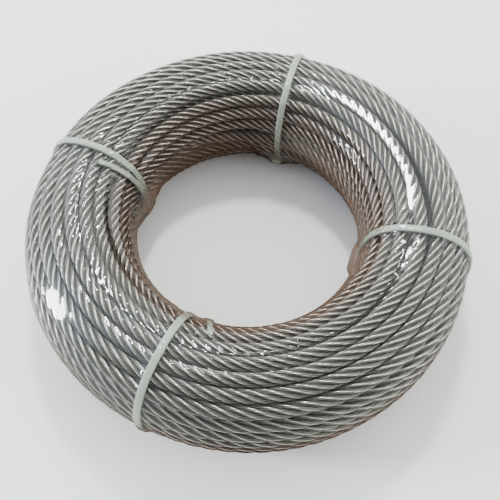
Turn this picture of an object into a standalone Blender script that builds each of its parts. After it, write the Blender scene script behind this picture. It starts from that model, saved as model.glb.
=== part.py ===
"""Coil of wire rope, held by four cable ties and wrapped in clear film.

The wound rope is one turned ring. Its section is a rounded square whose outside
shows the turns as round ridges. Each cable tie runs once round that section, over
the crests of the ridges, and the film lies over the rope and the ties. The coil
lies flat: its axis is Z, and it rests on the undersides of the four ties at Z = 0.
Lengths are in metres and angles in degrees.
"""

import math

import bmesh
import bpy
import numpy as np
from mathutils import Matrix, Vector

# Rope and coil
ROPE_DIAMETER = 0.005
TURN_PITCH = 0.00484
COIL_MEAN_DIAMETER = 0.126
SECTION_WIDTH = 0.0384
SECTION_HEIGHT = 0.043
SECTION_SQUARENESS = 2.4
GROOVE_DEPTH = 0.0019
RIDGE_ARC = 55.0
COIL_STEPS = 40

# Gap between pieces that touch
CLEARANCE = 0.0003

# Cable ties
TIE_WIDTH = 0.0025
TIE_THICKNESS = 0.001
HEAD_LENGTH = 0.0048
HEAD_WIDTH = 0.0047
HEAD_HEIGHT = 0.0034
HEAD_ROUNDING = 0.0005

# Where each tie sits round the coil, how far up the bore wall its head is, in turns
# counted from the underside, and its free end: how many turns it crosses on its way
# back over the coil, and how far it strays from the strap, as an angle round the coil
TIES = {
    "cable_tie_back": {"azimuth": 73.5, "head_turns": 4, "tail_turns": 0, "tail_stray": 0.0},
    "cable_tie_left": {"azimuth": 158.5, "head_turns": 5, "tail_turns": 6, "tail_stray": 5.6},
    "cable_tie_front": {"azimuth": 244.7, "head_turns": 5, "tail_turns": 5, "tail_stray": 12.3},
    "cable_tie_right": {"azimuth": 347.0, "head_turns": 4, "tail_turns": 0, "tail_stray": 0.0},
}

# Share of its way from the head after which a free end lies on the rope
TAIL_DOWN_SHARE = 0.6

# Clear film: it is open along the underside, and lifts off the rope at the ties
FILM_THICKNESS = 0.00015
FILM_GAP = 0.0005
FILM_OPEN_TURNS = 3
FILM_STEPS = 10
FILM_MARGIN = 0.0029
FILM_FOOT = 0.003

# Sizes that follow
ROPE_RADIUS = ROPE_DIAMETER / 2
COIL_MEAN_RADIUS = COIL_MEAN_DIAMETER / 2
STRAP_OUTSIDE = CLEARANCE + TIE_THICKNESS
CURVE_SAMPLES = 7200
MERGE_DISTANCE = 0.00001

STEEL = {"colour": (0.33, 0.35, 0.33), "metallic": 1.0, "roughness": 0.35, "alpha": 1.0}
NYLON = {"colour": (0.62, 0.68, 0.62), "metallic": 0.0, "roughness": 0.45, "alpha": 1.0}
FILM = {"colour": (0.85, 0.88, 0.86), "metallic": 0.0, "roughness": 0.12, "alpha": 0.25}


def section_line():
    """Closed line through the centres of the outermost turns, from the lowest point outwards."""
    half_width = SECTION_WIDTH / 2 - ROPE_RADIUS
    half_height = SECTION_HEIGHT / 2 - ROPE_RADIUS
    angle = np.radians(np.linspace(-90.0, 270.0, CURVE_SAMPLES + 1))
    power = 2 / SECTION_SQUARENESS
    across = np.sign(np.cos(angle)) * np.abs(np.cos(angle)) ** power
    up = np.sign(np.sin(angle)) * np.abs(np.sin(angle)) ** power
    points = np.column_stack((half_width * across, half_height * up))
    slope = SECTION_SQUARENESS - 1
    normals = np.column_stack((
        np.sign(across) * np.abs(across) ** slope / half_width,
        np.sign(up) * np.abs(up) ** slope / half_height,
    ))
    normals /= np.linalg.norm(normals, axis=1)[:, None]
    run = np.concatenate(([0.0], np.cumsum(np.linalg.norm(np.diff(points, axis=0), axis=1))))
    return points, normals, run


LINE_POINTS, LINE_NORMALS, LINE_RUN = section_line()
LINE_LENGTH = LINE_RUN[-1]
RIDGE_COUNT = 2 * round(LINE_LENGTH / (2 * TURN_PITCH))


def section_point(turns, offset):
    """Point of the coil's section, seen from the section's centre, and the outward normal there."""
    run = (turns / RIDGE_COUNT % 1.0) * LINE_LENGTH
    centre = np.array([np.interp(run, LINE_RUN, LINE_POINTS[:, axis]) for axis in (0, 1)])
    normal = np.array([np.interp(run, LINE_RUN, LINE_NORMALS[:, axis]) for axis in (0, 1)])
    normal /= np.linalg.norm(normal)
    return centre + normal * (ROPE_RADIUS + offset), normal


# The straps' undersides, flat between the two lowest crests, rest on the floor
COIL_CENTRE_HEIGHT = -section_point(0.5, STRAP_OUTSIDE)[0][1]


def on_section(turns, offset):
    """Point of the coil's section as (radius, height), and the outward normal there.

    turns counts ridges from the underside, round the outside, the top and the bore.
    Whole numbers plus a half are crests. offset is the distance outside the crests.
    """
    point, normal = section_point(turns, offset)
    return point + (COIL_MEAN_RADIUS, COIL_CENTRE_HEIGHT), normal


def crest(index, offset):
    """Point at a distance outside the crest of one ridge."""
    return on_section(index + 0.5, offset)[0]


def make_material(name, look):
    """Principled material from a colour, a metallic value, a roughness and an alpha."""
    material = bpy.data.materials.new(name)
    material.use_nodes = True
    shader = material.node_tree.nodes["Principled BSDF"]
    shader.inputs["Base Color"].default_value = (*look["colour"], 1.0)
    shader.inputs["Metallic"].default_value = look["metallic"]
    shader.inputs["Roughness"].default_value = look["roughness"]
    shader.inputs["Alpha"].default_value = look["alpha"]
    return material


def add_object(name, data, collection):
    """Object for a mesh or a curve, linked to one collection."""
    made = bpy.data.objects.new(name, data)
    collection.objects.link(made)
    return made


def shade_smooth(mesh, sharp_angle):
    """Smooth shading that keeps the edges above an angle sharp."""
    mesh.shade_smooth()
    mesh.set_sharp_from_angle(angle=math.radians(sharp_angle))


def make_rope_coil(parts):
    """Turned ring of the wound rope, with a round ridge for each outermost turn."""
    profile = []
    for index in range(RIDGE_COUNT):
        centre, normal = on_section(index + 0.5, -ROPE_RADIUS)
        profile.append(on_section(index, -GROOVE_DEPTH)[0])
        for turn in (-RIDGE_ARC, 0.0, RIDGE_ARC):
            angle = math.atan2(normal[1], normal[0]) + math.radians(turn)
            profile.append(centre + ROPE_RADIUS * np.array([math.cos(angle), math.sin(angle)]))
    profile.reverse()

    mesh = bpy.data.meshes.new("rope_coil")
    count = len(profile)
    mesh.from_pydata(
        [(radius, 0.0, height) for radius, height in profile],
        [(index, (index + 1) % count) for index in range(count)],
        [],
    )
    coil = add_object("rope_coil", mesh, parts)
    screw = coil.modifiers.new("turn", "SCREW")
    screw.axis = "Z"
    screw.angle = math.tau
    screw.steps = COIL_STEPS
    screw.render_steps = COIL_STEPS
    screw.use_merge_vertices = True
    screw.merge_threshold = MERGE_DISTANCE
    screw.use_smooth_shade = True
    mesh.materials.append(make_material("bright_wire_rope", STEEL))
    return coil


def add_outline(curve, points):
    """Closed straight-sided outline in a flat curve."""
    spline = curve.splines.new("POLY")
    spline.points.add(len(points) - 1)
    for control, (radius, height) in zip(spline.points, points):
        control.co = (radius, height, 0.0, 1.0)
    spline.use_cyclic_u = True


def band_from_outlines(name, outlines, azimuth, collection):
    """Band as wide as a tie: flat outlines in the coil's section plane at one azimuth."""
    curve = bpy.data.curves.new(name, "CURVE")
    curve.dimensions = "2D"
    curve.fill_mode = "BOTH"
    curve.extrude = TIE_WIDTH / 2
    for outline in outlines:
        add_outline(curve, outline)
    guide = add_object(f"{name}_curve", curve, collection)
    guide.rotation_euler = (math.radians(90), 0.0, math.radians(azimuth))
    bpy.context.view_layer.update()

    evaluated = guide.evaluated_get(bpy.context.evaluated_depsgraph_get())
    mesh = bpy.data.meshes.new_from_object(evaluated)
    mesh.name = name
    welded = bmesh.new()
    welded.from_mesh(mesh)
    bmesh.ops.remove_doubles(welded, verts=welded.verts, dist=MERGE_DISTANCE)
    welded.to_mesh(mesh)
    welded.free()
    band = add_object(name, mesh, collection)
    band.matrix_world = guide.matrix_world.copy()
    bpy.data.objects.remove(guide)
    bpy.data.curves.remove(curve)
    return band


def make_strap(name, azimuth, collection):
    """Closed strap loop, straight from crest to crest."""
    inside = [crest(index, CLEARANCE) for index in range(RIDGE_COUNT)]
    outside = [crest(index, STRAP_OUTSIDE) for index in range(RIDGE_COUNT)]
    return band_from_outlines(name, [outside, inside], azimuth, collection)


def make_tail(name, tie, collection):
    """Free end of a strap: it leaves the top of the head and comes to lie beside the strap."""
    start = RIDGE_COUNT - tie["head_turns"]
    stops = np.arange(start, start - tie["tail_turns"] - 0.25, -0.5)
    share = (start - stops) / tie["tail_turns"]
    rises = TIE_THICKNESS * np.clip(1 - share / TAIL_DOWN_SHARE, 0.0, 1.0)
    inner = [on_section(stop, CLEARANCE + rise)[0] for stop, rise in zip(stops, rises)]
    outer = [on_section(stop, STRAP_OUTSIDE + rise)[0] for stop, rise in zip(stops, rises)]
    tail = band_from_outlines(name, [inner + outer[::-1]], tie["azimuth"], collection)

    # The band strays round the coil's axis, its own Y, in step with its way from the head
    centres = np.array([(a + b) / 2 for a, b in zip(inner, outer)])
    for vertex in tail.data.vertices:
        nearest = np.argmin(np.linalg.norm(centres - np.array(vertex.co[:2]), axis=1))
        stray = math.radians(tie["tail_stray"]) * share[nearest]
        vertex.co = Matrix.Rotation(stray, 3, "Y") @ vertex.co
    return tail


def make_head(name, tie, collection):
    """Lock of a tie: a block with rounded edges on the strap, on the coil's bore wall."""
    place = RIDGE_COUNT - tie["head_turns"]
    normal = on_section(place, 0.0)[1]
    sunk = CLEARANCE + TIE_THICKNESS / 2
    height = HEAD_HEIGHT - TIE_THICKNESS / 2
    seat = (crest(place - 1, 0.0) + crest(place, 0.0)) / 2 + normal * sunk
    centre = seat + normal * height / 2

    bpy.ops.mesh.primitive_cube_add(size=1.0)
    head = bpy.context.object
    head.name = name
    head.data.transform(Matrix.Diagonal((height, HEAD_WIDTH, HEAD_LENGTH, 1.0)))
    for holder in list(head.users_collection):
        holder.objects.unlink(head)
    collection.objects.link(head)
    rounding = head.modifiers.new("rounded_edges", "BEVEL")
    rounding.width = HEAD_ROUNDING
    rounding.segments = 2
    tilt = math.atan2(normal[1], normal[0])
    turn = Matrix.Rotation(math.radians(tie["azimuth"]), 4, "Z")
    place_in_section = Matrix.Translation((centre[0], 0.0, centre[1]))
    head.matrix_world = turn @ place_in_section @ Matrix.Rotation(-tilt, 4, "Y")
    return head


def join_to(base, piece):
    """Unite a hidden piece with the object that carries it."""
    union = base.modifiers.new(piece.name, "BOOLEAN")
    union.operation = "UNION"
    union.solver = "EXACT"
    union.object = piece
    piece.hide_render = True
    piece.display_type = "WIRE"


def make_cable_tie(name, tie, parts, guides, material):
    """One tie: the strap round the coil's section, its head, and its free end if it has one."""
    strap = make_strap(name, tie["azimuth"], parts)
    shade_smooth(strap.data, 40)
    strap.data.materials.append(material)
    if tie["tail_turns"]:
        join_to(strap, make_tail(f"{name}_free_end", tie, guides))
    join_to(strap, make_head(f"{name}_head", tie, guides))
    return strap


def tail_stray(tie, index):
    """How far the free end of a tie has strayed from its strap where it crosses one crest."""
    head = RIDGE_COUNT - tie["head_turns"]
    crossed = head - index - 0.5
    if not tie["tail_turns"] or not 0 < crossed <= tie["tail_turns"] + 1:
        return 0.0
    return tie["tail_stray"] * min(crossed / tie["tail_turns"], 1.0)


def tie_lift(tie, index):
    """How far the film's inner face stands off a crest where the tie crosses it."""
    head = RIDGE_COUNT - tie["head_turns"]
    if index in (head - 1, head):
        return CLEARANCE + HEAD_HEIGHT + FILM_GAP
    if tail_stray(tie, index) > 0:
        return STRAP_OUTSIDE + TIE_THICKNESS + FILM_GAP
    return STRAP_OUTSIDE + FILM_GAP


def film_row(index):
    """Film along one crest, all round the coil, as (azimuth, lift) pairs."""
    radius = crest(index, 0.0)[0]
    flat = math.degrees(FILM_MARGIN / radius)
    foot = math.degrees(FILM_FOOT / radius)
    ties = list(TIES.values())
    row = []
    for tie, following in zip(ties, ties[1:] + ties[:1]):
        azimuth = tie["azimuth"]
        lift = tie_lift(tie, index)
        high = azimuth + flat + tail_stray(tie, index)
        row.append((azimuth - flat - foot, FILM_GAP))
        row += [(azimuth - flat, lift), (azimuth, lift), (high, lift)]
        start = high + foot
        stop = azimuth + (following["azimuth"] - azimuth) % 360 - flat - foot
        for step in range(FILM_STEPS):
            row.append((start + (stop - start) * step / FILM_STEPS, FILM_GAP))
    return row


def make_film_wrap(parts):
    """Thin clear skin over the outside, the top and the bore, open along the underside.

    It is a loft of sections that lift over the straps, heads and free ends.
    """
    first = FILM_OPEN_TURNS // 2
    skin = bmesh.new()
    rows = []
    for index in range(first, RIDGE_COUNT - first):
        row = []
        for azimuth, lift in film_row(index):
            radius, height = crest(index, lift)
            turn = Matrix.Rotation(math.radians(azimuth), 3, "Z")
            row.append(skin.verts.new(turn @ Vector((radius, 0.0, height))))
        rows.append(row)
    for lower, upper in zip(rows, rows[1:]):
        for place, corner in enumerate(lower):
            following = (place + 1) % len(lower)
            skin.faces.new((corner, lower[following], upper[following], upper[place]))
    mesh = bpy.data.meshes.new("film_wrap")
    skin.to_mesh(mesh)
    skin.free()
    film = add_object("film_wrap", mesh, parts)
    shell = film.modifiers.new("film_thickness", "SOLIDIFY")
    shell.thickness = FILM_THICKNESS
    shell.offset = 1.0
    mesh.shade_smooth()
    mesh.materials.append(make_material("clear_wrapping_film", FILM))
    return film


def main():
    for leftover in list(bpy.data.objects):
        bpy.data.objects.remove(leftover, do_unlink=True)
    parts = bpy.data.collections.new("wire_rope_coil")
    guides = bpy.data.collections.new("joined_shapes")
    bpy.context.scene.collection.children.link(parts)
    bpy.context.scene.collection.children.link(guides)

    make_rope_coil(parts)
    nylon = make_material("natural_nylon", NYLON)
    for name, tie in TIES.items():
        make_cable_tie(name, tie, parts, guides, nylon)
    make_film_wrap(parts)


main()
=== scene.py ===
"""Coil of stainless wire rope under clear shrink film, held by four nylon cable ties.

The rope is wound in code the way a loose coil settles: its turns start on rings of
slots, stray a little, and are then pushed apart until they lie side by side inside
the coil's section. The ties and the film are fitted over the turns as they came out.

Azimuths are degrees round the coil from +X. Section angles are degrees round the middle
of the coil's section: 0 faces away from the axis, 90 up, and 180 into the bore.
"""

import math

import bpy
import numpy as np
from bpy.props import FloatProperty, FloatVectorProperty, IntProperty, PointerProperty
from mathutils import Matrix, Vector


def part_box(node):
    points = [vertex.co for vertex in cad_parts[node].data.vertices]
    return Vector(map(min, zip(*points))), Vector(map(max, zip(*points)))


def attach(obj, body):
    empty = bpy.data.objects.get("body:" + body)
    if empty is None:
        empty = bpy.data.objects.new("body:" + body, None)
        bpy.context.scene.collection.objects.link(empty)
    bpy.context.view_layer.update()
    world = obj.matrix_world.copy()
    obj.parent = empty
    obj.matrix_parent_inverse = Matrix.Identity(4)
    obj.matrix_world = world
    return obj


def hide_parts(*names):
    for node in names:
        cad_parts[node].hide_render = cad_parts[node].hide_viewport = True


bl_info = {
    "name": "Wire Rope Coil",
    "version": (1, 0, 0),
    "blender": (4, 5, 0),
    "location": "View3D > Sidebar > Wire Rope",
    "description": "Winds a coil of wire rope and dresses it with cable ties and film",
    "category": "Object",
}

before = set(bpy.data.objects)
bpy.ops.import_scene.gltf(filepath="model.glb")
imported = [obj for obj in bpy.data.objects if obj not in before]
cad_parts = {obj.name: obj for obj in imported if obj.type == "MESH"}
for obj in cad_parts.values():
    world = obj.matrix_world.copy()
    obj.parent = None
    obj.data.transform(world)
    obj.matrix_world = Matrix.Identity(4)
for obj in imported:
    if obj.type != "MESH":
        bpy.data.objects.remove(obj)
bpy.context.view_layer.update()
MM = 0.001

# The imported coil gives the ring's outside and the heights of its turns
COIL_LOW, COIL_HIGH = (Vector(corner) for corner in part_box("rope_coil"))
COIL_OUTSIDE = COIL_HIGH.x
COIL_BOTTOM = COIL_LOW.z
COIL_HEIGHT = COIL_HIGH.z - COIL_LOW.z

# Rope: stations round the coil where each turn's place is kept, strands, and rings of
# points in each lay length of a stranded tube
STATIONS = 90
STRANDS = 6
RINGS_PER_LAY = 15

# About the most triangles in one piece of the rope, under the limit of 200,000
MOST_TRIANGLES = 190000

# Turns out of sight are plain tubes: their sides, and their radius in rope diameters
INNER_SIDES = 6
INNER_RADIUS = 0.47

# Ties: azimuth round the coil, section angles of the head and of where the free end stops,
# and how far the free end strays from the strap, all in degrees
TIES = {
    "cable_tie_back": {"azimuth": 73.5, "head": 217.0, "end": None, "stray": 0.0},
    "cable_tie_left": {"azimuth": 158.5, "head": 200.0, "end": 107.0, "stray": 5.6},
    "cable_tie_front": {"azimuth": 244.7, "head": 200.0, "end": 117.0, "stray": 12.3},
    "cable_tie_right": {"azimuth": 347.0, "head": 216.0, "end": None, "stray": 0.0},
}
STRAP_CLEARANCE = 0.03 * MM
STRAP_ROUNDING = 0.22 * MM
HEAD_ROUNDING = 0.9 * MM

# A free end leaves its head in a bend, is down on the turns after a share of its way,
# strays fastest at first, and gets narrower by a share towards its tip
END_BEND = 7 * MM
END_DOWN_SHARE = 0.55
END_STRAY_POWER = 0.75
END_TAPER = 0.3

# Distances across the film are taken as if the section were a circle of this radius
SECTION_RADIUS = 20 * MM

# Where the film is taut, over the right shoulder and on the patch that shines at the left:
# azimuth, half span round the coil, section angle and half arc, in degrees. At each tie's
# head it is taut too, over a half span and a half arc
TAUT_PATCHES = [(22, 52, 98, 26), (213, 22, 59, 26)]
TAUT_AT_HEAD = (9, 26)

# Where it is flatter than the section, so that a light shows wide in it: azimuth, half
# span, section angle, reach across and share
FLAT_PATCHES = [(24, 46, 96, 6 * MM, 0.7), (212, 13, 59, 10 * MM, 0.8)]

# The film stays up for a margin on both sides of a tie, and slopes down from a head like a tent
TIE_MARGIN = 0.1 * MM
TENT_REACH = 7 * MM
TENT_POWER = 1.5

# Lights: azimuth and elevation in degrees, distance and size in metres, the setting that
# holds the power, and the colour
LIGHTS = {
    "lamp_behind": (90, 60, 0.7, 0.08, "key_power", "ffffff"),
    "window_left": (184, 20, 0.9, 0.16, "window_power", "ffffff"),
    "sky_left": (180, 34, 1.2, 0.9, "sky_power", "a8c0f5"),
    "sky_right": (35, 15, 1.2, 0.9, "fill_power", "ffffff"),
    "sky_behind": (118, 28, 1.2, 0.9, "behind_power", "ffffff"),
    "sky_front": (345, 25, 1.2, 0.8, "front_power", "ffffff"),
}
FLOOR_SIZE = 6.0
FLOOR_DROP = 0.1 * MM


def linear(hex_colour):
    """Linear RGB from an sRGB hex colour."""
    values = [int(hex_colour[place:place + 2], 16) / 255 for place in (0, 2, 4)]
    return [value / 12.92 if value <= 0.04045 else ((value + 0.055) / 1.055) ** 2.4 for value in values]


class RopeSettings(bpy.types.PropertyGroup):
    """Sizes and colours of the wound rope."""

    diameter: FloatProperty(
        name="Rope diameter", description="Over the crests of the strands",
        default=5 * MM, min=MM, unit="LENGTH")
    section_width: FloatProperty(
        name="Section width", description="Radial width of the wound section",
        default=38.4 * MM, unit="LENGTH")
    squareness: FloatProperty(
        name="Section squareness", description="Exponent of the section's rounded square",
        default=2.4, min=2.0, max=4.0)
    lay_length: FloatProperty(
        name="Lay length", description="Length of rope in which a strand goes round once",
        default=28 * MM, unit="LENGTH")
    wire_lay: FloatProperty(
        name="Wire lay", description="Length of strand in which a wire goes round once",
        default=14 * MM, unit="LENGTH")
    turn_pitch: FloatProperty(
        name="Turn pitch", description="From turn to turn over the outside, where crowns nest",
        default=4.84 * MM, unit="LENGTH")
    crossing: FloatProperty(
        name="Crossing", description="Azimuth in degrees where turns cross to their next slot",
        default=172.0)
    stray: FloatProperty(
        name="Inner stray", description="How far inner turns stray before they settle, in diameters",
        default=0.4, min=0.0, max=2.0)
    outer_stray: FloatProperty(
        name="Outer stray", description="The same for the outermost turns",
        default=0.28, min=0.0, max=2.0)
    gap: FloatProperty(
        name="Gap", description="Widest opening between two turns on top, beside the right tie",
        default=1.9 * MM, unit="LENGTH")
    seed: IntProperty(name="Seed", description="Which winding comes out", default=4)
    # Used only for the painted highlight along each strand's crown
    steel: FloatVectorProperty(
        name="Steel", description="Bright drawn stainless wire", subtype="COLOR",
        default=linear("d4d6cf"))
    # Grease on the strands' flanks, with painted shade in the valleys between strands and the grooves
    # between wires
    grime: FloatVectorProperty(
        name="Grime", description="Drawing grease between the wires", subtype="COLOR",
        default=linear("42443e"))
    # Painted highlight on the crowns, tinted by a painted reflection of a brown surface, in the bore and
    # low on the outside
    brown_reflection_highlight: FloatVectorProperty(
        name="Warm steel", description="Rubbed crowns in the bore and low on the outside",
        subtype="COLOR", default=linear("f0e0d4"))
    # Flank colour tinted by a painted reflection of a brown surface, in the bore and low on the outside
    brown_reflection_dark: FloatVectorProperty(
        name="Warm grime", description="Old brown grease in the bore and low on the outside",
        subtype="COLOR", default=linear("473d34"))


class TieSettings(bpy.types.PropertyGroup):
    """Sizes and colour of the cable ties."""

    width: FloatProperty(
        name="Strap width", description="Across the strap", default=2.5 * MM, unit="LENGTH")
    thickness: FloatProperty(
        name="Strap thickness", description="Through the strap", default=1.0 * MM, unit="LENGTH")
    head_length: FloatProperty(
        name="Head length", description="Along the strap", default=4.8 * MM, unit="LENGTH")
    head_width: FloatProperty(
        name="Head width", description="Across the strap", default=4.6 * MM, unit="LENGTH")
    head_height: FloatProperty(
        name="Head height", description="From the rope to the head's outside",
        default=3.4 * MM, unit="LENGTH")
    nylon: FloatVectorProperty(
        name="Nylon", description="Natural uncoloured nylon", subtype="COLOR",
        default=linear("919c90"))


class FilmSettings(bpy.types.PropertyGroup):
    """Sizes and colours of the shrink film."""

    ripple: FloatProperty(
        name="Ripple", description="How far the film follows each strand it touches",
        default=0.2 * MM, unit="LENGTH")
    hug: FloatProperty(
        name="Hugging radius", description="Radius of the film where it follows the turns",
        default=3.4 * MM, unit="LENGTH")
    taut: FloatProperty(
        name="Taut radius", description="Radius of the film where it is pulled across the grooves",
        default=80 * MM, unit="LENGTH")
    dip: FloatProperty(
        name="Dip", description="How deep the film dips into the grooves at most",
        default=0.7 * MM, unit="LENGTH")
    hollow: FloatProperty(
        name="Hollow", description="How far inside the coil's section the film goes at most",
        default=1.0 * MM, unit="LENGTH")
    stand_off: FloatProperty(
        name="Stand-off", description="How far the film's chords stand off the bore",
        default=0.9 * MM, unit="LENGTH")
    bag: FloatProperty(
        name="Bag", description="How far the film bags round the right tie's head",
        default=2.4 * MM, unit="LENGTH")
    open_half: FloatProperty(
        name="Half opening", description="Half of the open strip under the coil, as an angle",
        default=math.radians(22), unit="ROTATION")
    tight: FloatProperty(
        name="Tight direction", description="Azimuth along which the film is pulled tightest",
        default=math.radians(22), unit="ROTATION")
    haze: FloatVectorProperty(
        name="Haze", description="Milky tone of the film", subtype="COLOR",
        default=linear("dfe6e4"))
    # Painted brown reflection, laid on as a matt layer where the film is seen edge on in the bore and low
    # down, and over the ties' heads
    brown_reflection_haze: FloatVectorProperty(
        name="Edge haze", description="Colour that overlapping wraps scatter seen edge on",
        subtype="COLOR", default=linear("5f4b3c"))
    # Painted brown reflection in the film's clear tint, where it is seen edge on
    edge: FloatVectorProperty(
        name="Edge tone", description="Colour of the film seen edge on", subtype="COLOR",
        default=linear("866951"))


class StageSettings(bpy.types.PropertyGroup):
    """The camera's place and the studio's light."""

    elevation: FloatProperty(
        name="Camera elevation", description="Angle above the floor",
        default=math.radians(59), unit="ROTATION")
    distance: FloatProperty(
        name="Camera distance", description="From the middle of the coil",
        default=252 * MM, unit="LENGTH")
    lens: FloatProperty(name="Lens", description="Focal length in mm on 36 mm", default=47.4)
    shift_x: FloatProperty(name="Shift X", description="Sideways framing", default=0.0045)
    shift_y: FloatProperty(name="Shift Y", description="Up and down framing", default=-0.0445)
    key_power: FloatProperty(name="Key light", description="Watts of the lamp behind", default=3.6)
    window_power: FloatProperty(
        name="Side light", description="Watts of the light at the left", default=10.0)
    fill_power: FloatProperty(
        name="Fill light", description="Watts of the wide light at the right", default=4.5)
    behind_power: FloatProperty(
        name="Light behind", description="Watts of the wide light behind at the left", default=6.0)
    front_power: FloatProperty(
        name="Front light", description="Watts of the wide light at the camera's right", default=9.0)
    sky_power: FloatProperty(
        name="Sky light", description="Watts of the wide bluish light at the left", default=4.0)
    floor: FloatVectorProperty(
        name="Floor", description="Pale paper floor", subtype="COLOR", default=linear("f4f4f2"))


# Angles and places


def degrees_from(angles, other):
    """Angles as seen from another one, between -180 and 180 degrees."""
    return (angles - other + 180) % 360 - 180


def near_tie(azimuths):
    """Angle from each azimuth to the nearest tie, in degrees."""
    ties = np.array([tie["azimuth"] for tie in TIES.values()])
    return np.min(np.abs(degrees_from(np.asarray(azimuths)[:, None], ties)), axis=1)


def ease(share):
    """Share that starts and stops gently."""
    return share * share * (3 - 2 * share)


def directions(angles):
    """Unit vectors in the section's plane at section angles."""
    return np.column_stack((np.cos(np.radians(angles)), np.sin(np.radians(angles))))


def round_axis(around, radius, height):
    """Points in space from angles round the coil in radians, radii and heights."""
    return np.column_stack((radius * np.cos(around), radius * np.sin(around), height))


def run_along(points):
    """Distance along a line at each of its points."""
    return np.concatenate(([0], np.cumsum(np.linalg.norm(np.diff(points, axis=0), axis=1))))


# Winding


def centre_line_half(rope):
    """Half width and half height of the line through the outermost turns' centres."""
    return np.array([rope.section_width - rope.diameter, COIL_HEIGHT - rope.diameter]) / 2


def section_rings(rope):
    """Slots for the turns, ring by ring inwards, and which of them are in the outermost ring."""
    ring_spacing = 0.9 * rope.diameter
    inner_pitch = 1.08 * rope.diameter
    smallest_half = 0.3 * rope.diameter
    angle = np.radians(np.linspace(-90, 270, 2001))
    across = np.sign(np.cos(angle)) * np.abs(np.cos(angle)) ** (2 / rope.squareness)
    up = np.sign(np.sin(angle)) * np.abs(np.sin(angle)) ** (2 / rope.squareness)
    half = centre_line_half(rope)
    pitch = rope.turn_pitch
    slots = []
    outermost = 0
    while half.min() > smallest_half:
        x, z = half[0] * across, half[1] * up
        run = np.concatenate(([0], np.cumsum(np.hypot(np.diff(x), np.diff(z)))))
        count = max(1, round(run[-1] / pitch))
        outermost = outermost or count
        stops = run[-1] * (np.arange(count) + 0.5) / count
        slots += list(zip(np.interp(stops, run, x), np.interp(stops, run, z)))
        half = half - ring_spacing
        pitch = inner_pitch
    slots.append((0.0, 0.0))
    return np.array(slots), np.arange(len(slots)) < outermost - 1


def spread_along(values, weights):
    """Running weighted mean along the rope."""
    pad = len(weights) // 2
    padded = np.concatenate((np.repeat(values[:1], pad, 0), values, np.repeat(values[-1:], pad, 0)))
    return sum(weight * padded[place:place + len(values)] for place, weight in enumerate(weights))


def smooth_wander(random, count, wavelength):
    """Smooth random offsets along the rope, in the section's two directions."""
    knots = random.normal(size=(int(count / wavelength) + 4, 2))
    place = np.arange(count) / wavelength
    before = place.astype(int)
    share = ease(place - before)[:, None]
    return knots[before] * (1 - share) + knots[before + 1] * share


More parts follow.
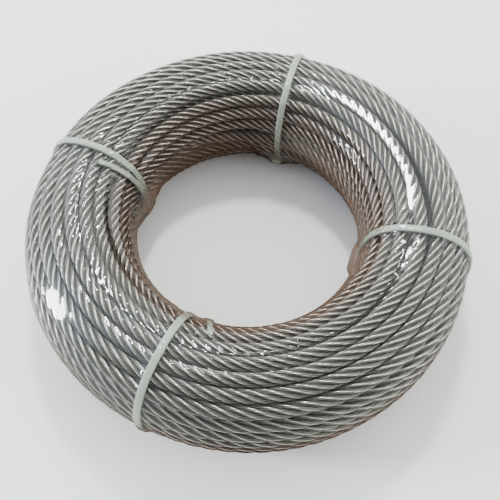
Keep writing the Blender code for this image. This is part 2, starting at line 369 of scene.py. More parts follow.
class Winding:
    """The rope's centre line: one point for each station of each turn, in the section's plane."""

    made = None

    def __init__(self, rope):
        self.diameter = rope.diameter
        self.mean_radius = COIL_OUTSIDE - rope.section_width / 2
        self.centre_height = COIL_BOTTOM + COIL_HEIGHT / 2
        self.half = centre_line_half(rope)
        self.squareness = rope.squareness
        slots, outermost = section_rings(rope)
        self.turns = len(slots)
        self.path = self.settle(slots, outermost, rope)

    @classmethod
    def get(cls, rope):
        """The one winding that the rope, the ties and the film share."""
        if cls.made is None:
            cls.made = cls(rope)
        return cls.made

    def settle(self, slots, outermost, rope):
        """Lays the turns out with some stray and pushes them apart until they lie side by side.

        A turn keeps to its slot most of the way round and crosses to the next one in a
        short stretch, as a rope does on a winding frame.
        """
        crossing_scatter, crossing_span = 14, 46
        strays_per_turn = 3.1
        random = np.random.default_rng(rope.seed)
        count = self.turns * STATIONS
        place = np.arange(count) / STATIONS
        turn = place.astype(int)
        crossing = rope.crossing + crossing_scatter * random.normal(size=self.turns)
        share = np.clip(((place - turn) * 360 - crossing[turn]) / crossing_span + 0.5, 0, 1)
        share = ease(share)[:, None]
        path = slots[turn] * (1 - share) + slots[np.minimum(turn + 1, self.turns - 1)] * share
        stray = np.where(outermost[turn], rope.outer_stray, rope.stray) * rope.diameter
        path = path + stray[:, None] * smooth_wander(random, count, STATIONS / strays_per_turn)
        weights = np.array([1, 3, 6, 9, 10, 9, 6, 3, 1.0])
        weights /= weights.sum()
        path = spread_along(spread_along(path, weights), weights)

        # Away from the ties, which hold the section in, it may bulge a little
        bulge, held, let_go = 0.4 * MM, 6, 16
        slack = bulge * np.clip((near_tie(place % 1 * 360) - held) / let_go, 0, 1)
        room = self.half + slack[:, None]
        return self.push_apart(path, place, room, outermost[turn], weights, rope.gap)

    def push_apart(self, path, place, room, outermost, weights, gap_width):
        """Moves turns that overlap apart, round after round, and keeps them in their room."""
        rounds = 420
        contact = 0.97 * self.diameter
        # The start holds the turns back, firmer in the outermost ring, and lets go of them
        hold = np.where(outermost, 0.05, 0.02)[:, None]
        # How much of each correction one round makes
        push_share, widen_share, stride = 0.4, 0.3, 1.8
        return_share, firm_share, smooth_share = 1.2, 0.3, 0.4
        gap_reach = 1.2 * self.diameter
        start = path.copy()
        wedge, along, opening = self.gap_in(place, room, gap_width)
        nearest = np.minimum(np.round(place).astype(int) * STATIONS, len(path) - 1)
        side = np.sign(((path - wedge) * along).sum(1))[nearest]
        own = np.eye(self.turns)
        for step in range(rounds):
            grid = path.reshape(self.turns, STATIONS, 2).transpose(1, 0, 2)
            apart = grid[:, :, None, :] - grid[:, None, :, :]
            gap = np.sqrt((apart ** 2).sum(-1)) + own
            push = np.clip(contact - gap, 0, None)
            move = (apart / gap[..., None] * push[..., None]).sum(2)
            move = push_share * move.transpose(1, 0, 2).reshape(len(path), 2)
            aside = ((path - wedge) * along).sum(1) * side
            at_gap = (opening > 0) & (np.linalg.norm(path - wedge, axis=1) < gap_reach)
            widen = np.where(at_gap, np.clip(self.diameter / 2 + opening - aside, 0, None), 0)
            move += widen_share * (widen * side)[:, None] * along
            path = path + stride * spread_along(move, weights)
            path += (start - path) * hold * (1 - step / rounds) ** 2
            level = (np.abs(path / room) ** self.squareness).sum(1) ** (1 / self.squareness)
            back = np.where((level > 1)[:, None], path / level[:, None] - path, 0)
            path = path + return_share * spread_along(back, weights) + firm_share * back
            path += smooth_share * (spread_along(path, weights) - path)
        return path

    def gap_in(self, place, room, width):
        """Where the gap on top runs, its direction across, and half its width, for each station."""
        middle_azimuth, half_span = 0.5, 13
        middle_angle, drift = 85.5, 0.6
        from_middle = degrees_from(place * 360, middle_azimuth)
        angle = np.radians(middle_angle + drift * from_middle)
        cosine, sine = np.cos(angle), np.sin(angle)
        reach = self.reach(cosine, sine, room[:, 0], room[:, 1])
        bell = np.clip(1 - (from_middle / half_span) ** 2, 0, None)
        return (np.column_stack((cosine, sine)) * reach[:, None],
                np.column_stack((-sine, cosine)), width / 2 * bell)

    def reach(self, cosine, sine, half_width, half_height):
        """How far a rounded square reaches in the direction of a cosine and a sine."""
        across = np.abs(cosine / half_width) ** self.squareness
        up = np.abs(sine / half_height) ** self.squareness
        return (across + up) ** (-1 / self.squareness)

    def outline(self, angles):
        """How far the section's rounded square reaches at each angle, in degrees."""
        half = self.half + self.diameter / 2
        return self.reach(np.cos(np.radians(angles)), np.sin(np.radians(angles)), half[0], half[1])

    def section_at(self, azimuth):
        """Centres of all the turns at one azimuth, from the section's centre."""
        place = azimuth % 360 / 360 * STATIONS
        before = int(place)
        share = place - before
        rows = np.arange(self.turns) * STATIONS + before
        after = np.minimum(rows + 1, len(self.path) - 1)
        return self.path[rows] * (1 - share) + self.path[after] * share

    def seen(self):
        """Which points of the rope show from outside the section, past their neighbours.

        Each turn is looked at along rays from all round, at its middle and near both its
        edges. A point within two stations of one that shows counts as showing.
        """
        ray_step = 15
        aims = (-0.35, 0.0, 0.35)
        ahead_by, covers = 0.1 * self.diameter, 0.485 * self.diameter
        neighbours = 5
        grid = self.path.reshape(self.turns, STATIONS, 2).transpose(1, 0, 2)
        seen = np.zeros((STATIONS, self.turns), bool)
        for angle in np.radians(np.arange(0, 360, ray_step)):
            ray = np.array([math.cos(angle), math.sin(angle)])
            side = np.array([-ray[1], ray[0]])
            ahead = (grid @ ray)[:, None, :] - (grid @ ray)[:, :, None]
            beside = (grid @ side)[:, None, :] - (grid @ side)[:, :, None]
            for aim in aims:
                blocks = (ahead > ahead_by) & (np.abs(beside - aim * self.diameter) < covers)
                seen |= ~blocks.any(2)
        seen = seen.T.reshape(-1)
        return np.convolve(seen.astype(float), np.ones(neighbours), "same") > 0.5

    def points_at(self, places):
        """Points in space on the rope's centre line, at places counted in stations."""
        places = np.clip(places, 0.1, len(self.path) - 1.1)
        before = np.clip(places.astype(int), 1, len(self.path) - 3)
        share = (places - before)[:, None]
        p0, p1, p2, p3 = (self.path[before + step] for step in (-1, 0, 1, 2))
        inner = (p2 - p0) / 2
        outer = (p3 - p1) / 2
        square = share * share
        cube = square * share
        flat = ((2 * cube - 3 * square + 1) * p1 + (cube - 2 * square + share) * inner
                + (3 * square - 2 * cube) * p2 + (cube - square) * outer)
        around = places / STATIONS * math.tau
        return round_axis(around, self.mean_radius + flat[:, 0], self.centre_height + flat[:, 1])


def in_space(winding, azimuths, flat):
    """Points in space from azimuths in degrees and points in the section's plane."""
    around = np.radians(azimuths) * np.ones(len(flat))
    return round_axis(around, winding.mean_radius + flat[:, 0], winding.centre_height + flat[:, 1])


def tight_loop(circles, radius, count):
    """Taut line round circles in a plane: its points, evenly spaced, anticlockwise."""
    angle = np.linspace(0, math.tau, 1440, endpoint=False)
    rays = np.column_stack((np.cos(angle), np.sin(angle)))
    reach = circles @ rays.T
    line = circles[reach.argmax(0)] + radius * rays
    closed = np.vstack((line, line[:1]))
    run = run_along(closed)
    stops = run[-1] * np.arange(count) / count
    return np.column_stack([np.interp(stops, run, closed[:, axis]) for axis in (0, 1)])


def outward(loop):
    """Outward normals of a closed anticlockwise loop."""
    along = np.roll(loop, -1, 0) - np.roll(loop, 1, 0)
    normals = np.column_stack((along[:, 1], -along[:, 0]))
    return normals / np.linalg.norm(normals, axis=1)[:, None]


# Meshes


def add_piece(name, mesh, replaced, material):
    """Object for a finished mesh, riding on the coil, with its finish and what it stands for."""
    piece = bpy.data.objects.new(name, mesh)
    bpy.context.scene.collection.objects.link(piece)
    mesh.materials.append(material)
    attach(piece, "root")
    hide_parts(replaced)
    return piece


def mesh_from_rows(name, parts):
    """One smooth mesh from grids of points.

    Each part is (points, tube, marks). Points are rows of vertices. A tube's rows close on
    themselves and its two ends are capped. Marks are the UV values of each column's left
    and right sides, and of each row.
    """
    vertices, loops, starts, totals, uvs = [], [], [], [], []
    offset = 0
    corner = 0
    for points, tube, (left, right, along) in parts:
        rows, columns = points.shape[:2]
        index = offset + np.arange(rows * columns).reshape(rows, columns)
        following = np.roll(index, -1, 1) if tube else index[:, 1:]
        own = index if tube else index[:, :-1]
        quads = np.stack((own[:-1], following[:-1], following[1:], own[1:]), -1).reshape(-1, 4)
        width = own.shape[1]
        face_uv = np.empty((rows - 1, width, 4, 2))
        face_uv[..., 0, 0] = face_uv[..., 3, 0] = left[:width]
        face_uv[..., 1, 0] = face_uv[..., 2, 0] = right[:width]
        face_uv[..., 0, 1] = face_uv[..., 1, 1] = along[:-1, None]
        face_uv[..., 2, 1] = face_uv[..., 3, 1] = along[1:, None]
        vertices.append(points.reshape(-1, 3))
        loops.append(quads.reshape(-1))
        starts.append(corner + 4 * np.arange(len(quads)))
        totals.append(np.full(len(quads), 4))
        uvs.append(face_uv.reshape(-1, 2))
        corner += 4 * len(quads)
        if tube:
            for ring, row in ((index[0][::-1], 0), (index[-1], -1)):
                loops.append(ring)
                starts.append(np.array([corner]))
                totals.append(np.array([columns]))
                uvs.append(np.tile([0.0, along[row]], (columns, 1)))
                corner += columns
        offset += rows * columns
    vertices = np.concatenate(vertices)
    loops = np.concatenate(loops)
    starts = np.concatenate(starts)
    mesh = bpy.data.meshes.new(name)
    mesh.vertices.add(len(vertices))
    mesh.vertices.foreach_set("co", vertices.ravel())
    mesh.loops.add(len(loops))
    mesh.loops.foreach_set("vertex_index", loops.astype(np.int32))
    mesh.polygons.add(len(starts))
    mesh.polygons.foreach_set("loop_start", starts.astype(np.int32))
    mesh.polygons.foreach_set("loop_total", np.concatenate(totals).astype(np.int32))
    layer = mesh.uv_layers.new(name="wires")
    layer.data.foreach_set("uv", np.concatenate(uvs).ravel())
    mesh.update(calc_edges=True)
    mesh.validate()
    mesh.shade_smooth()
    return mesh


def open_sheet(name, rows):
    """Mesh of one open grid of points."""
    columns = np.arange(rows.shape[1]) * 1.0
    marks = (columns, columns + 1, np.arange(len(rows)) * 1.0)
    return mesh_from_rows(name, [(rows, False, marks)])


def strand_outline(diameter):
    """Rope's outline as six strands: radii, angles, and the wires' count across each strand.

    Six strands lie round a core as thick as they are, so a strand's radius is a sixth of
    the rope's diameter. A strand has six wires round its own core.
    """
    strand = diameter / 6
    wire_step = math.radians(60)
    stops = np.radians([-80, -40, 0, 40, 80])
    x = 2 * strand + strand * np.cos(stops)
    y = strand * np.sin(stops)
    # The groove between two strands is a little shallower than where they touch
    groove = 2 * strand * math.cos(math.radians(30)) + 0.05 * diameter
    radii = np.concatenate(([groove], np.hypot(x, y)))
    angles = np.concatenate(([math.radians(-30)], np.arctan2(y, x)))
    wires = np.concatenate(([0.0], 2 + stops / wire_step, [4.0]))
    turns = np.repeat(np.arange(STRANDS) * math.tau / STRANDS, len(radii))
    return (np.tile(radii, STRANDS), np.tile(angles, STRANDS) + turns,
            np.tile(wires[:-1], STRANDS), np.tile(wires[1:], STRANDS))


def tube_points(winding, places, radii, angles, twist):
    """Rings of points round the rope's centre line, turned by the twist at each ring."""
    nudge = 0.05
    centres = winding.points_at(places)
    along = winding.points_at(places + nudge) - winding.points_at(places - nudge)
    along /= np.linalg.norm(along, axis=1)[:, None]
    across = round_axis(places / STATIONS * math.tau, 1.0, np.zeros(len(places)))
    across -= (across * along).sum(1)[:, None] * along
    across /= np.linalg.norm(across, axis=1)[:, None]
    up = np.cross(across, along)
    angle = angles[None, :] + twist[:, None]
    return (centres[:, None, :] + radii[None, :, None] * (
        np.cos(angle)[..., None] * up[:, None, :] + np.sin(angle)[..., None] * across[:, None, :]))


def runs_of(mask):
    """First and last index of each unbroken run of True."""
    edges = np.flatnonzero(np.diff(np.concatenate(([0], mask.astype(int), [0]))))
    return list(zip(edges[::2], edges[1::2] - 1))


def select_only(*pieces):
    """Selects some objects and nothing else, and makes the first one active."""
    bpy.ops.object.select_all(action="DESELECT")
    for piece in pieces:
        piece.select_set(True)
    bpy.context.view_layer.objects.active = pieces[0]


def apply_modifiers(piece):
    """Applies a piece's modifiers in order."""
    select_only(piece)
    for modifier in list(piece.modifiers):
        bpy.ops.object.modifier_apply(modifier=modifier.name)


def close_seam(piece):
    """Merges the doubled row where a closed band meets itself."""
    select_only(piece)
    bpy.ops.object.mode_set(mode="EDIT")
    bpy.ops.mesh.select_all(action="SELECT")
    bpy.ops.mesh.remove_doubles(threshold=0.001 * MM)
    bpy.ops.object.mode_set(mode="OBJECT")


# Materials


def add_node(tree, kind, inputs=(), **settings):
    """Adds a shader node, sets its options, and sets or links its inputs.

    Inputs are a dict by name, or stand in the node's own order. A Map Range's order is the
    value, the two ends it comes from, and the two it goes to. A node stands for its first
    output.
    """
    node = tree.nodes.new(f"ShaderNode{kind}")
    for name, value in settings.items():
        setattr(node, name, value)
    for name, value in (inputs if isinstance(inputs, dict) else dict(enumerate(inputs))).items():
        if isinstance(value, bpy.types.Node):
            value = value.outputs[0]
        if isinstance(value, bpy.types.NodeSocket):
            tree.links.new(value, node.inputs[name])
        else:
            node.inputs[name].default_value = value
    return node


def new_material(name):
    """Empty node material and its node tree."""
    material = bpy.data.materials.new(name)
    material.use_nodes = True
    material.node_tree.nodes.clear()
    return material, material.node_tree


def bore_and_low(tree, where):
    """Node that is 1 in the bore and low on the outside, and 0 over the crown: where a brown reflection is
    painted.
    """
    place = add_node(tree, "SeparateXYZ", (where.outputs["Object"],))
    level = add_node(tree, "CombineXYZ", (place.outputs["X"], place.outputs["Y"]))
    radius = add_node(tree, "VectorMath", (level,), operation="LENGTH")
    in_bore = add_node(tree, "MapRange", (radius.outputs["Value"], 47 * MM, 56 * MM, 1.0, 0.0))
    low_down = add_node(tree, "MapRange", (place.outputs["Z"], 14 * MM, 30 * MM, 1.0, 0.0))
    return add_node(tree, "Math", (in_bore, low_down), operation="MAXIMUM")


def drawn_steel(rope):
    """Bright drawn stainless wire: each wire is a fine thread, with grease and painted shade in its
    grooves, a painted highlight along each strand's crown and a painted brown reflection in the bore and
    low on the outside.
    """
    material, tree = new_material("drawn_stainless_wire")
    uv = add_node(tree, "UVMap", uv_map="wires")
    parts = add_node(tree, "SeparateXYZ", (uv,))
    # The wires run against the strands' lay, so they lie nearly along the rope
    slant = add_node(tree, "Math", (
        parts.outputs["Y"], STRANDS * MM / rope.wire_lay, parts.outputs["X"]), operation="MULTIPLY_ADD")
    place = add_node(tree, "Math", (slant,), operation="FRACT")
    # From -1 to 1 across each wire, and squared, 1 in the grooves between the wires
    centred = add_node(tree, "Math", (place, 2.0, -1.0), operation="MULTIPLY_ADD")
    square = add_node(tree, "Math", (centred, centred), operation="MULTIPLY")
    height = add_node(tree, "Math", (1.0, square), operation="SUBTRACT")
    bump = add_node(tree, "Bump", {"Height": height, "Strength": 0.9, "Distance": 0.14 * MM})

    where = add_node(tree, "TexCoord")
    # Duller and brighter spots, about 11 mm apart
    mottle = add_node(tree, "TexNoise", {
        "Vector": where.outputs["Object"], "Scale": 90.0, "Detail": 3.0})
    # A painted highlight runs along each strand's crown. The flanks take the grime colour, fully in the
    # valleys between strands, which is grease and painted shade. Across a strand the UV map counts four
    # wires, so its crown is at 2
    aside = add_node(tree, "Math", (parts.outputs["X"], 2.0), operation="SUBTRACT")
    off_crown = add_node(tree, "Math", (aside,), operation="ABSOLUTE")
    crown = add_node(tree, "MapRange", (off_crown, 0.05, 0.42, 0.75, 0.0), interpolation_type="SMOOTHSTEP")
    body = add_node(tree, "MapRange", (off_crown, 0.9, 1.7, 0.12, 0.0))
    highlight_and_body = add_node(tree, "Math", (crown, body), operation="ADD")
    # Painted shade in the grooves between the wires
    groove = add_node(tree, "MapRange", (square, 0.35, 1.0, 1.0, 0.2))
    bright = add_node(tree, "Math", (highlight_and_body, groove), operation="MULTIPLY")
    # Painted reflection of a brown surface, low on the outside and in the bore
    brown_reflection_share = bore_and_low(tree, where)
    flanks = add_node(tree, "Mix", {
        "Factor": brown_reflection_share, "A": (*rope.grime, 1.0), "B": (*rope.brown_reflection_dark, 1.0)}, data_type="RGBA")
    crowns = add_node(tree, "Mix", {
        "Factor": brown_reflection_share, "A": (*rope.steel, 1.0), "B": (*rope.brown_reflection_highlight, 1.0)}, data_type="RGBA")
    coloured = add_node(tree, "Mix", {
        "Factor": bright, "A": flanks.outputs["Result"], "B": crowns.outputs["Result"],
    }, data_type="RGBA")
    dulled = add_node(tree, "MapRange", (mottle.outputs["Fac"], 0.3, 0.7, 0.42, 0.56))
    rough = add_node(tree, "Mix", {"Factor": bright, "A": dulled, "B": 0.26}, data_type="FLOAT")
    shader = add_node(tree, "BsdfPrincipled", {
        "Metallic": 1.0, "Roughness": rough.outputs["Result"], "Normal": bump,
        "Base Color": coloured.outputs["Result"]})
    add_node(tree, "OutputMaterial", {"Surface": shader})
    return material


def natural_nylon(ties):
    """Injection moulded nylon: milky, a little see-through at its edges, softly glossy."""
    material, tree = new_material("moulded_natural_nylon")
    where = add_node(tree, "TexCoord")
    # Flow marks of the mould, about 4 mm apart
    cloud = add_node(tree, "TexNoise", {
        "Vector": where.outputs["Object"], "Scale": 260.0, "Detail": 4.0})
    rough = add_node(tree, "MapRange", (cloud.outputs["Fac"], 0.3, 0.7, 0.38, 0.5))
    bump = add_node(tree, "Bump", {
        "Height": cloud.outputs["Fac"], "Strength": 0.1, "Distance": 0.1 * MM})
    shader = add_node(tree, "BsdfPrincipled", {
        "Base Color": (*ties.nylon, 1.0), "Roughness": rough, "IOR": 1.53,
        "Subsurface Weight": 0.4, "Subsurface Radius": (1.0, 1.0, 0.9), "Subsurface Scale": 1.0 * MM,
        "Normal": bump})
    add_node(tree, "OutputMaterial", {"Surface": shader})
    return material


def clear_film(film):
    """Blown polyethylene film, heat shrunk: clear, glossy, with fine pull lines, and a painted brown
    reflection where it is seen edge on.
    """
    material, tree = new_material("shrunk_clear_film")
    where = add_node(tree, "TexCoord")
    # Pull lines about 6 mm apart
    pulls = add_node(tree, "TexNoise", {
        "Vector": where.outputs["Object"], "Scale": 160.0, "Detail": 3.0, "Distortion": 0.6})
    bump = add_node(tree, "Bump", {
        "Height": pulls.outputs["Fac"], "Strength": 0.25, "Distance": 0.25 * MM})
    # Pulled tight and glossy at the right and left, slacker and duller in front and behind
    spread = add_node(tree, "VectorMath", (where.outputs["Object"], (1.0, 1.0, 0.0)), operation="MULTIPLY")
    outwards = add_node(tree, "VectorMath", (spread,), operation="NORMALIZE")
    tight_way = (math.cos(film.tight), math.sin(film.tight), 0.0)
    along = add_node(tree, "VectorMath", (outwards, tight_way), operation="DOT_PRODUCT")
    tight = add_node(tree, "Math", (along.outputs["Value"], along.outputs["Value"]), operation="MULTIPLY")
    clarity = add_node(tree, "MapRange", (tight, 0.2, 0.7, 0.15, 1.0))
    gloss = add_node(tree, "BsdfGlossy", {
        "Color": (*film.haze, 1.0), "Roughness": 0.07, "Normal": bump})
    facing = add_node(tree, "LayerWeight", {"Blend": 0.5, "Normal": bump})
    # Painted reflection of a brown surface where it is seen edge on, most of all in the bore and low down
    turned = add_node(tree, "Math", (facing.outputs["Facing"], 2.0), operation="POWER")
    edge_on = add_node(tree, "MapRange", (turned, 0.0, 1.0, 0.04, 1.0))
    brown_reflection_weight = add_node(tree, "MapRange", (bore_and_low(tree, where), 0.0, 1.0, 0.3, 1.5))
    brown = add_node(tree, "Math", (edge_on, brown_reflection_weight), operation="MULTIPLY", use_clamp=True)
    tone = add_node(tree, "Mix", {
        "Factor": brown, "A": (1.0, 1.0, 1.0, 1.0), "B": (*film.edge, 1.0)}, data_type="RGBA")
    clear = add_node(tree, "BsdfTransparent", {"Color": tone.outputs["Result"]})
    # Painted brown reflection as a matt layer, where the film is seen edge on
    painted_brown_haze = add_node(tree, "BsdfDiffuse", {"Color": (*film.brown_reflection_haze, 1.0)})
    hide = add_node(tree, "MapRange", (brown, 0.4, 1.1, 0.0, 0.75))
    # More of the painted brown shade and reflection where it stands furthest into the bore, over the ties'
    # heads
    inwards = add_node(tree, "VectorMath", (spread,), operation="LENGTH")
    innermost_brown = add_node(tree, "MapRange", (inwards.outputs["Value"], 41.4 * MM, 43.2 * MM, 0.75, 0.0))
    hidden = add_node(tree, "Math", (hide, innermost_brown), operation="MAXIMUM")
    browned = add_node(tree, "MixShader", (hidden, clear, painted_brown_haze))
    # A trace of milkiness all over
    milk = add_node(tree, "BsdfDiffuse", {"Color": (*film.haze, 1.0)})
    milky = add_node(tree, "MixShader", (0.008, browned, milk))
    # Reflection of a thin sheet: a little face on, and more at a graze
    graze = add_node(tree, "Math", (facing.outputs["Facing"], 5.0), operation="POWER")
    share = add_node(tree, "MapRange", (graze, 0.0, 1.0, 0.05, 0.16))
    shown = add_node(tree, "Math", (share, clarity), operation="MULTIPLY")
    mixed = add_node(tree, "MixShader", (shown, milky, gloss))
    add_node(tree, "OutputMaterial", {"Surface": mixed})
    return material


def pale_floor(stage):
    """Matt white paper."""
    material, tree = new_material("matt_white_paper")
    shader = add_node(tree, "BsdfPrincipled", {"Base Color": (*stage.floor, 1.0), "Roughness": 0.9})
    add_node(tree, "OutputMaterial", {"Surface": shader})
    return material


# Rope


class WIREROPE_OT_rope(bpy.types.Operator):
    """Wind the rope: stranded where it shows, plain round turns inside."""

    bl_idname = "wirerope.rope"
    bl_label = "Wind Rope"

    def execute(self, context):
        rope = context.scene.wire_rope
        winding = Winding.get(rope)
        seen = winding.seen()
        steel = drawn_steel(rope)
        for number, parts in enumerate(self.stranded(winding, seen, rope), 1):
            mesh = mesh_from_rows(f"rope_turns_{number}", parts)
            add_piece(f"rope_turns_{number}", mesh, "rope_coil", steel)
        mesh = mesh_from_rows("rope_inner_turns", self.plain(winding, seen, rope))
        add_piece("rope_inner_turns", mesh, "rope_coil", steel)
        return {"FINISHED"}

    def stranded(self, winding, seen, rope):
        """Tubes of the runs that show, shared out so that no piece has too many triangles."""
        radii, angles, left, right = strand_outline(rope.diameter)
        station_length = math.tau * winding.mean_radius / STATIONS
        ring_step = rope.lay_length / RINGS_PER_LAY / station_length
        most_rings = MOST_TRIANGLES // (2 * len(radii))
        least_rings = 8
        pieces = [[]]
        rings = 0
        for first, last in runs_of(seen):
            stops = np.arange(max(first, 1), min(last, len(seen) - 3), ring_step)
            while len(stops) > 3:
                room = most_rings - rings
                if room < least_rings:
                    pieces.append([])
                    rings = 0
                    room = most_rings
                part = stops[:room]
                stops = stops[room - 1:] if len(stops) > room else []
                twist = part * station_length / rope.lay_length * math.tau
                points = tube_points(winding, part, radii, angles, twist)
                pieces[-1].append((points, True, (left, right, part * station_length / MM)))
                rings += len(part)
        return pieces

    def plain(self, winding, seen, rope):
        """Tubes of the runs that lie out of sight."""
        angles = np.linspace(0, math.tau, INNER_SIDES, endpoint=False)
        radii = np.full(INNER_SIDES, INNER_RADIUS * rope.diameter)
        tubes = []
        for first, last in runs_of(~seen):
            stops = np.arange(max(first - 1, 1), min(last + 1, len(seen) - 3) + 0.5)
            if len(stops) > 1:
                points = tube_points(winding, stops, radii, angles, np.zeros(len(stops)))
                tubes.append((points, True, (np.zeros(INNER_SIDES), np.ones(INNER_SIDES), stops)))
        return tubes


# Cable ties


def band(points, sideways, width):
    """Rows of a flat band: its two edges beside each point of its line."""
    reach = 0.5 * width * np.ones(len(points))
    offsets = np.column_stack((-reach, reach))
    return points[:, None, :] + offsets[..., None] * sideways[:, None, :]


def tie_loop(winding, azimuth, width):
    """Line of a strap's inner face round the section, clear of the turns it crosses."""
    half = math.degrees(width / 2 / winding.mean_radius)
    circles = np.vstack([winding.section_at(azimuth + side) for side in (-half, 0.0, half)])
    return tight_loop(circles, winding.diameter / 2 + STRAP_CLEARANCE, 120)


def angle_of(loop):
    """Section angle of each point of a loop, from 0 to 360 degrees."""
    return np.degrees(np.arctan2(loop[:, 1], loop[:, 0])) % 360


def nearest_to(loop, angle):
    """Which point of a loop is nearest to a section angle."""
    return int(np.argmin(np.abs(angle_of(loop) - angle)))


def end_lift(share, thickness):
    """How far a free end is off the turns, after a share of its way."""
    return thickness * np.clip(1 - share / END_DOWN_SHARE, 0, 1)


def end_stray(tie, share):
    """How far a free end has strayed from the strap in degrees, after a share of its way."""
    return tie["stray"] * np.clip(share, 0, 1) ** END_STRAY_POWER


def finish_band(piece, thickness):
    """Gives a flat band its thickness and rounded edges, and applies both."""
    shell = piece.modifiers.new("thickness", "SOLIDIFY")
    shell.thickness = thickness
    shell.offset = 1.0
    edges = piece.modifiers.new("rounding", "BEVEL")
    edges.width = STRAP_ROUNDING
    edges.segments = 2
    edges.limit_method = "ANGLE"
    edges.angle_limit = math.radians(60)
    apply_modifiers(piece)


class WIREROPE_OT_ties(bpy.types.Operator):
    """Fit the four cable ties round the coil's section, tight over its turns."""

    bl_idname = "wirerope.ties"
    bl_label = "Fit Cable Ties"

    def execute(self, context):
        ties = context.scene.wire_rope_ties
        winding = Winding.get(context.scene.wire_rope)
        nylon = natural_nylon(ties)
        for name, tie in TIES.items():
            loop = tie_loop(winding, tie["azimuth"], ties.width)
            parts = [self.strap(name, tie, winding, loop, ties, nylon),
                     self.head(name, tie, winding, loop, ties, nylon)]
            if tie["end"]:
                parts.append(self.free_end(name, tie, winding, loop, ties, nylon))
            select_only(*parts)
            bpy.ops.object.join()
        return {"FINISHED"}

    def strap(self, name, tie, winding, loop, ties, nylon):
        """Closed strap round the section."""
        points = in_space(winding, tie["azimuth"], loop)
        around = math.radians(tie["azimuth"])
        sideways = np.tile([-math.sin(around), math.cos(around), 0.0], (len(points), 1))
        rows = band(points, sideways, ties.width)
        mesh = open_sheet(name, np.vstack((rows, rows[:1])))
        piece = add_piece(f"{name}_strap", mesh, name, nylon)
        close_seam(piece)
        finish_band(piece, ties.thickness)
        return piece

    def head(self, name, tie, winding, loop, ties, nylon):
        """Lock block with rounded edges, on the strap."""
        place = nearest_to(loop, tie["head"])
        normal = outward(loop)[place]
        size = Vector((ties.head_height, ties.head_width, ties.head_length))
        middle = loop[place] + normal * size.x / 2
        bpy.ops.object.select_all(action="DESELECT")
        bpy.ops.mesh.primitive_cube_add(size=1.0)
        head = bpy.context.object
        head.name = f"{name}_head"
        tilt = math.atan2(normal[1], normal[0])
        turn = Matrix.Rotation(math.radians(tie["azimuth"]), 4, "Z")
        centre = (winding.mean_radius + middle[0], 0.0, winding.centre_height + middle[1])
        head.data.transform(Matrix.Diagonal((*size, 1.0)))
        edges = head.modifiers.new("rounding", "BEVEL")
        edges.width = HEAD_ROUNDING
        edges.segments = 4
        apply_modifiers(head)
        head.data.transform(turn @ Matrix.Translation(centre) @ Matrix.Rotation(-tilt, 4, "Y"))
        head.data.materials.append(nylon)
        head.data.shade_smooth()
        return head

    def free_end(self, name, tie, winding, loop, ties, nylon):
        """Free end: out of the head, bent back, and along the turns beside the strap."""
        first = nearest_to(loop, tie["head"])
        last = nearest_to(loop, tie["end"])
        way = np.arange(first, last - 1, -1)
        share = (first - way) / (first - last)
        run = run_along(loop[way])
        bend = np.where(run < END_BEND, 0.5 + 0.5 * np.cos(math.pi * run / END_BEND), 0.0)
        lift = end_lift(share, ties.thickness) + (ties.head_height - 2 * ties.thickness) * bend
        flat = loop[way] + outward(loop)[way] * lift[:, None]
        azimuths = tie["azimuth"] + end_stray(tie, share)
        points = in_space(winding, azimuths, flat)
        around = np.radians(azimuths)
        sideways = np.column_stack((-np.sin(around), np.cos(around), np.zeros(len(way))))
        rows = band(points, sideways, ties.width * (1 - END_TAPER * share))[::-1]
        mesh = open_sheet(f"{name}_free_end", rows)
        mesh.materials.append(nylon)
        piece = bpy.data.objects.new(f"{name}_free_end", mesh)
        bpy.context.scene.collection.objects.link(piece)
        finish_band(piece, ties.thickness)
        return piece


# Film


